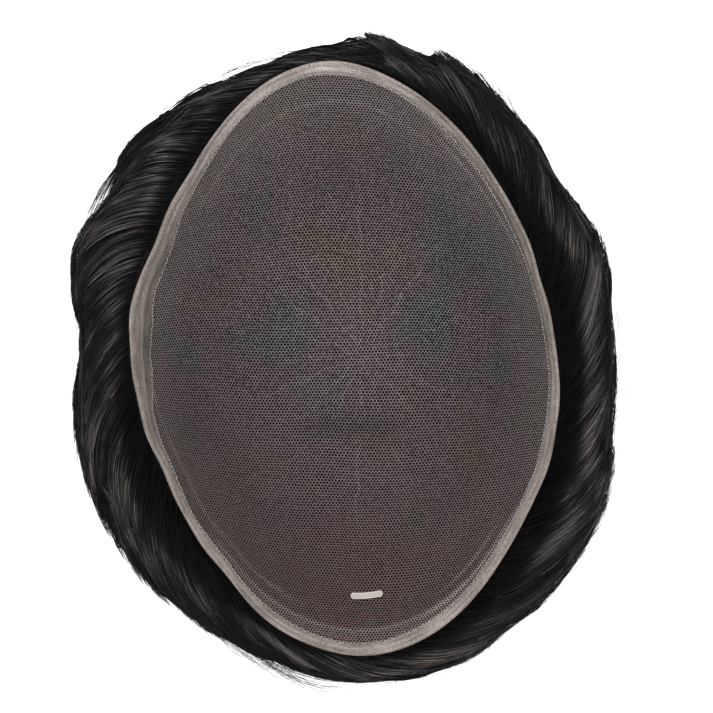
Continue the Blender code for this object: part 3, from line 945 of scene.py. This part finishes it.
rng = np.random.default_rng(23)
share = np.linspace(0, 1, STRAND_STEPS)
clump_root = np.arange(TOP_CLUMPS) + rng.uniform(-0.4, 0.4, TOP_CLUMPS)
clump_root = np.sort(FIRST_ROOT + 360 * clump_root / TOP_CLUMPS)
clump = rng.integers(0, TOP_CLUMPS, TOP_STRANDS)
root = clump_root[clump] + rng.uniform(-0.85, 0.85, TOP_STRANDS) * 360 / TOP_CLUMPS
own_angle, own_reach = swept(root, share)
shared_angle, shared_reach = swept(clump_root[clump], share)
gather = CLUMPING * share**1.4
angle = own_angle + (shared_angle - own_angle) * gather
reach = own_reach + (shared_reach - own_reach) * gather
limit = np.clip(1.04 + strand_share(rng, TOP_CLUMPS, clump, 0.02, 0.02), 0.92, 1.08)[:, None]
past = reach > table_value(EDGE, angle) * HAIR_REACH * limit + EDGE_GIVE
length = np.where(past.any(axis=1), share[past.argmax(axis=1)], 1.0)
length = length * np.clip(0.95 + strand_share(rng, TOP_CLUMPS, clump, 0.04, 0.03), 0.6, 1.03)
grown = share * length[:, None]
angle = np.stack([np.interp(g, share, a) for g, a in zip(grown, angle)])
reach = np.stack([np.interp(g, share, a) for g, a in zip(grown, reach)])
bend = strand_share(rng, TOP_CLUMPS, clump, 0.0006, 0.0007)[:, None] * share
wave_place = (swell(root) + strand_share(rng, TOP_CLUMPS, clump, 0.35, 0.8))[:, None]
wave = STRAND_WAVE * np.sin(grown * 8.5 + wave_place) * (0.3 + 0.7 * share)
reach = reach + bend + wave + rng.normal(0, 0.0005, TOP_STRANDS)[:, None]
reach = np.minimum(reach, table_value(EDGE, angle) * HAIR_REACH * limit)
radius = rim_radius(angle) + reach
turn = np.radians(angle)
path_x, path_y = radius * np.cos(turn), radius * np.sin(turn)

depsgraph = bpy.context.evaluated_depsgraph_get()
body_tree = BVHTree.FromObject(hair_body, depsgraph)


def draped_height(x, y, otherwise):
    """The height of the hair's body under points in plan, or another where there is none."""
    found = np.array(otherwise, float)
    for i in np.ndindex(x.shape):
        hit = body_tree.ray_cast(Vector((x[i], y[i], 0.12)), Vector((0, 0, -1)))[0]
        if hit is not None and hit.z > 0.02:
            found[i] = hit.z
    return found


def smoothed(values, times=2):
    """Evens out values along each strand, and keeps its two ends."""
    for _ in range(times):
        middle = (values[:, :-2] + 2 * values[:, 1:-1] + values[:, 2:]) / 4
        values = np.concatenate([values[:, :1], middle, values[:, -1:]], axis=1)
    return values


valley = table_value(VALLEY, angle)
plain = through_three(share, *TOP_LEVELS) * rim_height(angle)
off_body = plain * OFF_BODY
beside = np.where(reach > 0.0015, draped_height(path_x, path_y, off_body), off_body)
layer = rng.uniform(0.1, 1, TOP_STRANDS)
height = beside + LAYER_DEPTH * layer[:, None] * (0.4 + 0.6 * np.sin(share * np.pi))
root_height = rim_height(angle) * (ROOT_LEVEL - ROOT_DIP * valley)
height = height + (root_height - height) * np.clip(1 - share / ROOT_RUN, 0, 1)
height = smoothed(height + 0.0005 * np.sin(share * 7 + wave_place * 1.7))
above = beside + (0.2 + 0.5 * layer[:, None]) * LAYER_DEPTH
height = np.where(reach > 0.003, np.maximum(height, above), height)
height = np.minimum(height, rim_height(angle) * HIGHEST_HAIR)

# No strand passes through the lace: each point stays outside the wall at its own height
half_arc, wall_radius = wall_arc(angle)
climb = np.arccos(np.clip(1 - (height - BASE_BOTTOM) / wall_radius, -1, 1))
wall_out = wall_radius * np.sin(np.minimum(climb, half_arc)) - dent(angle) * (climb / half_arc) ** 3
radius = np.maximum(radius, wall_out + RIM_GAP)
paths = np.stack([radius * np.cos(turn), radius * np.sin(turn), height], axis=-1)

taper = np.interp(share, (0, 0.1, 0.6, 1), (0.7, 1, 0.9, 0.28))
widths = STRAND_WIDTH * taper * rng.uniform(0.7, 1.25, TOP_STRANDS)[:, None]
tone = np.clip(0.46 + strand_share(rng, TOP_CLUMPS, clump, 0.20, 0.12), 0, 1)
# Painted light in each strand's colour: painted shade in the groove along the rim, at the hair's edge and
# on the lower strands, painted sheen in bands along the wave crests, varied by clump, and more painted
# light at the back
across = np.clip(reach / (table_value(EDGE, angle) * HAIR_REACH), 0, 1)
near_edge = np.clip((across - EDGE_SHADE_FROM) / (1 - EDGE_SHADE_FROM), 0, 1)
lit = np.clip((across - DARK_BAND * valley) / DARK_FADE, 0, 1) * (1 - EDGE_SHADE * near_edge)
crest = strand_share(rng, TOP_CLUMPS, clump, 0.55, 0.7)[:, None] + swell(angle + 20)
crest = crest + across * SHEEN_BANDS * 6.28
sheen = (0.5 + 0.5 * np.sin(crest)) ** 2
clump_light = rng.uniform(0.7, 1.5, TOP_CLUMPS)[clump][:, None]
light = lit * (0.42 + 0.66 * sheen) * (0.30 + 0.75 * layer[:, None] ** 1.5) * clump_light
from_back = turned_away(angle, BACK_PLACE[0]) / BACK_PLACE[1]
light = light * (1 + BACK_LIGHT * np.exp(-(from_back**2)))
roll = rng.uniform(0, 6.28, TOP_STRANDS)
quarter = (np.mod(root, 360) // 90).astype(int)
for k, side in enumerate(("front_right", "front_left", "back_left", "back_right")):
    those = quarter == k
    strands("top_hair_" + side, paths[those], widths[those], tone[those], light[those], roll[those])


# SIDE HAIR
# Under the top locks the hair lies round the outside in long swept strands, down to the table.
# The same thin tubes, laid on the outside of the hair's body from the edge down to the table.

SIDE_STRANDS = 3300
SIDE_CLUMPS = 150
SIDE_SWEEP = (34.0, 52.0)  # degrees, shortest and longest
SIDE_HEIGHTS = (0.002, 0.056)
SIDE_FALL = 0.35  # how far a strand comes down along its length, as a share of the height
SIDE_WIDTH = 0.00046

rng = np.random.default_rng(41)
clump = rng.integers(0, SIDE_CLUMPS, SIDE_STRANDS)
clump_root = rng.uniform(0, 360, SIDE_CLUMPS)
clump_level = rng.uniform(0, 1 + SIDE_FALL, SIDE_CLUMPS)
travel = rng.uniform(*SIDE_SWEEP, SIDE_CLUMPS)[clump] * rng.uniform(0.85, 1.1, SIDE_STRANDS)
spread = rng.normal(0, 5.0, SIDE_STRANDS)[:, None] * (1 - 0.8 * share)
angle = clump_root[clump][:, None] + spread + travel[:, None] * share
level = clump_level[clump] + rng.normal(0, 0.07, SIDE_STRANDS)
fall = (-SIDE_FALL + strand_share(rng, SIDE_CLUMPS, clump, 0.03, 0.14))[:, None] * share
gather = (clump_level[clump] - level)[:, None] * CLUMPING * share**1.4
level = np.clip(level[:, None] + fall + gather, 0, 1)
wave_place = (swell(clump_root[clump]) + strand_share(rng, SIDE_CLUMPS, clump, 0.35, 0.9))[:, None]
height = SIDE_HEIGHTS[0] + (SIDE_HEIGHTS[1] - SIDE_HEIGHTS[0]) * level
height = height + 0.0007 * np.sin(share * 9 + wave_place)
height = np.clip(height, 0.0006, SIDE_HEIGHTS[1])
turn = np.radians(angle)
radius = np.empty_like(angle)
for i in np.ndindex(angle.shape):
    way = Vector((math.cos(turn[i]), math.sin(turn[i]), 0))
    start = way * 0.18 + Vector((0, 0, height[i]))
    hit = body_tree.ray_cast(start, -way)[0]
    radius[i] = hit.xy.length if hit is not None else rim_radius(angle[i])
layer = rng.uniform(0.2, 1, SIDE_STRANDS)
radius = smoothed(radius + 0.0018 * layer[:, None])
radius = np.maximum(radius, smoothed(radius, 1))
paths = np.stack([radius * np.cos(turn), radius * np.sin(turn), height], axis=-1)
widths = SIDE_WIDTH * taper * rng.uniform(0.7, 1.25, SIDE_STRANDS)[:, None]
tone = np.clip(0.45 + strand_share(rng, SIDE_CLUMPS, clump, 0.16, 0.14), 0, 1)
# Painted light: painted sheen along each strand's waves and painted shade on the lower strands
sheen = (0.5 + 0.5 * np.sin(share * 13 + wave_place)) ** 2
light = (0.25 + 0.60 * sheen) * (0.4 + 0.6 * layer[:, None])
roll = rng.uniform(0, 6.28, SIDE_STRANDS)
for name, those in (
    ("side_hair_front", np.sin(turn[:, 6]) >= 0),
    ("side_hair_back", np.sin(turn[:, 6]) < 0),
):
    strands(name, paths[those], widths[those], tone[those], light[those], roll[those])


# LOOSE STRANDS
# A few fine hairs stand off the edge all round, mostly at the front, the back and upper left.
# Thinner tubes than the rest, each with a bend of its own; upper left they trail from a lock's end.

LOOSE_STRANDS = 420
LOOSE_WIDTH = 0.00016
# Columns: middle angle in degrees, spread in degrees, share of the strands
LOOSE_PLACES = ((75, 14, 0.24), (150, 8, 0.20), (262, 9, 0.16), (0, 180, 0.40))
LOOSE_SWEEP = (30, 44)  # degrees from root to tip, shortest and longest
LOOSE_LEVELS = (0.82, 0.86, 0.66)  # root, middle and tip, as shares of the rim's height
TRAILING = 1  # the row of the strands that trail on from the end of a lock
TRAIL_RADIUS = 0.1105
TRAIL_SWEEP = (16, 24)
TRAIL_FAN = (-0.050, 0.008)  # how far in or out a tip strays, as a share of the radius
TRAIL_LEVELS = (0.74, 0.66, 0.48)

rng = np.random.default_rng(8)
places = rng.choice(len(LOOSE_PLACES), LOOSE_STRANDS, p=[p[2] for p in LOOSE_PLACES])
middle = np.array([p[0] for p in LOOSE_PLACES], float)[places]
spread = np.array([p[1] for p in LOOSE_PLACES], float)[places]
tip = middle + rng.uniform(-1, 1, LOOSE_STRANDS) * spread
angle, reach = swept(tip - rng.uniform(*LOOSE_SWEEP, LOOSE_STRANDS), share)
grown = share**1.5
stray = rng.normal(0.0014, 0.0018, LOOSE_STRANDS)[:, None] * grown
curl = rng.normal(0, 0.0022, LOOSE_STRANDS)[:, None] * np.sin(share * np.pi * 1.3) * share
reach = reach + stray + curl
trailing = (places == TRAILING)[:, None]
trail_run = rng.uniform(*TRAIL_SWEEP, (LOOSE_STRANDS, 1)) * (1 - share)
angle = np.where(trailing, tip[:, None] - trail_run, angle)
fan = rng.uniform(*TRAIL_FAN, (LOOSE_STRANDS, 1)) * share + 0.006 * np.sin(share * 5) * share
reach = np.where(trailing, TRAIL_RADIUS * (1 + fan) - rim_radius(angle), reach)
radius = rim_radius(angle) + np.maximum(reach, 0.002)
turn = np.radians(angle)
plain = np.where(
    trailing, through_three(share, *TRAIL_LEVELS), through_three(share, *LOOSE_LEVELS)
)
plain = plain * rim_height(angle)
path_x, path_y = radius * np.cos(turn), radius * np.sin(turn)
height = smoothed(np.maximum(plain, draped_height(path_x, path_y, plain) + 0.002))
height = height + rng.normal(0.001, 0.0016, LOOSE_STRANDS)[:, None] * grown
height = np.minimum(height, rim_height(angle) * HIGHEST_HAIR)
paths = np.stack([path_x, path_y, height], axis=-1)
widths = LOOSE_WIDTH * np.interp(share, (0, 0.5, 1), (1, 1, 0.5)) * np.ones((LOOSE_STRANDS, 1))
tone = np.clip(rng.normal(0.6, 0.2, LOOSE_STRANDS), 0, 1)
# An even level of painted light for all loose strands
light = np.full(angle.shape, 0.3)
strands("loose_strands", paths, widths, tone, light, rng.uniform(0, 6.28, LOOSE_STRANDS))


# The lace is a sheet cut 8 by 10 inches; its area is the threads' alone, as holes aren't cloth
thread_areas = np.empty(len(lace_net.data.polygons))
lace_net.data.polygons.foreach_get("area", thread_areas)


# STUDIO
# A plain white table, a soft light overhead and one at each corner, and the camera straight above.

FLOOR_SIZE = 3.0
CAMERA_HEIGHT = 2.2
VIEW_WIDTH = 0.262  # what the picture takes in at the rim's height
VIEW_CENTRE = (0.0039, 0.0006)

bpy.ops.object.select_all(action="DESELECT")
bpy.ops.mesh.primitive_plane_add(size=FLOOR_SIZE, location=(0, 0, 0))
floor = bpy.context.object
floor.name = "floor"
paper, shader = new_material("white_paper")
tooth = node(paper, "ShaderNodeTexNoise", Vector=object_place(paper), Scale=300.0, Detail=2.0)
tint = ramp(paper, tooth.outputs["Fac"], ((0.3, "FAFAFA"), (0.7, "FFFFFF")))
join_to(paper, shader, Base_Color=tint, Roughness=0.9)
floor.data.materials.append(paper)

world = bpy.data.worlds.new("soft_room")
world.use_nodes = True
world.node_tree.nodes["Background"].inputs["Color"].default_value = (1, 1, 1, 1)
world.node_tree.nodes["Background"].inputs["Strength"].default_value = 0.6
bpy.context.scene.world = world

# Columns: name, place, size in metres, power in watts
for name, place, size, power in (
    ("overhead_light", (-0.10, 0.25, 1.6), 0.7, 26.0),
    ("front_left_light", (-0.9, 0.9, 1.0), 0.4, 16.0),
    ("front_right_light", (0.9, 0.8, 1.0), 0.4, 16.0),
    ("back_left_light", (-0.9, -0.8, 1.0), 0.4, 14.0),
    ("back_right_light", (0.9, -0.9, 1.0), 0.4, 14.0),
):
    bpy.ops.object.light_add(type="AREA", location=place)
    lamp = bpy.context.object
    lamp.name = name
    lamp.data.size = size
    lamp.data.energy = power
    lamp.rotation_euler = (Vector((0, 0, 0.05)) - Vector(place)).to_track_quat("-Z", "Y").to_euler()

bpy.ops.object.camera_add(location=(*VIEW_CENTRE, CAMERA_HEIGHT))
camera = bpy.context.object
camera.data.sensor_width = 36.0
camera.data.lens = 36.0 * (CAMERA_HEIGHT - BASE_BOTTOM - BASE_DEPTH) / VIEW_WIDTH
bpy.context.scene.camera = camera
bpy.context.scene.view_settings.view_transform = "Standard"
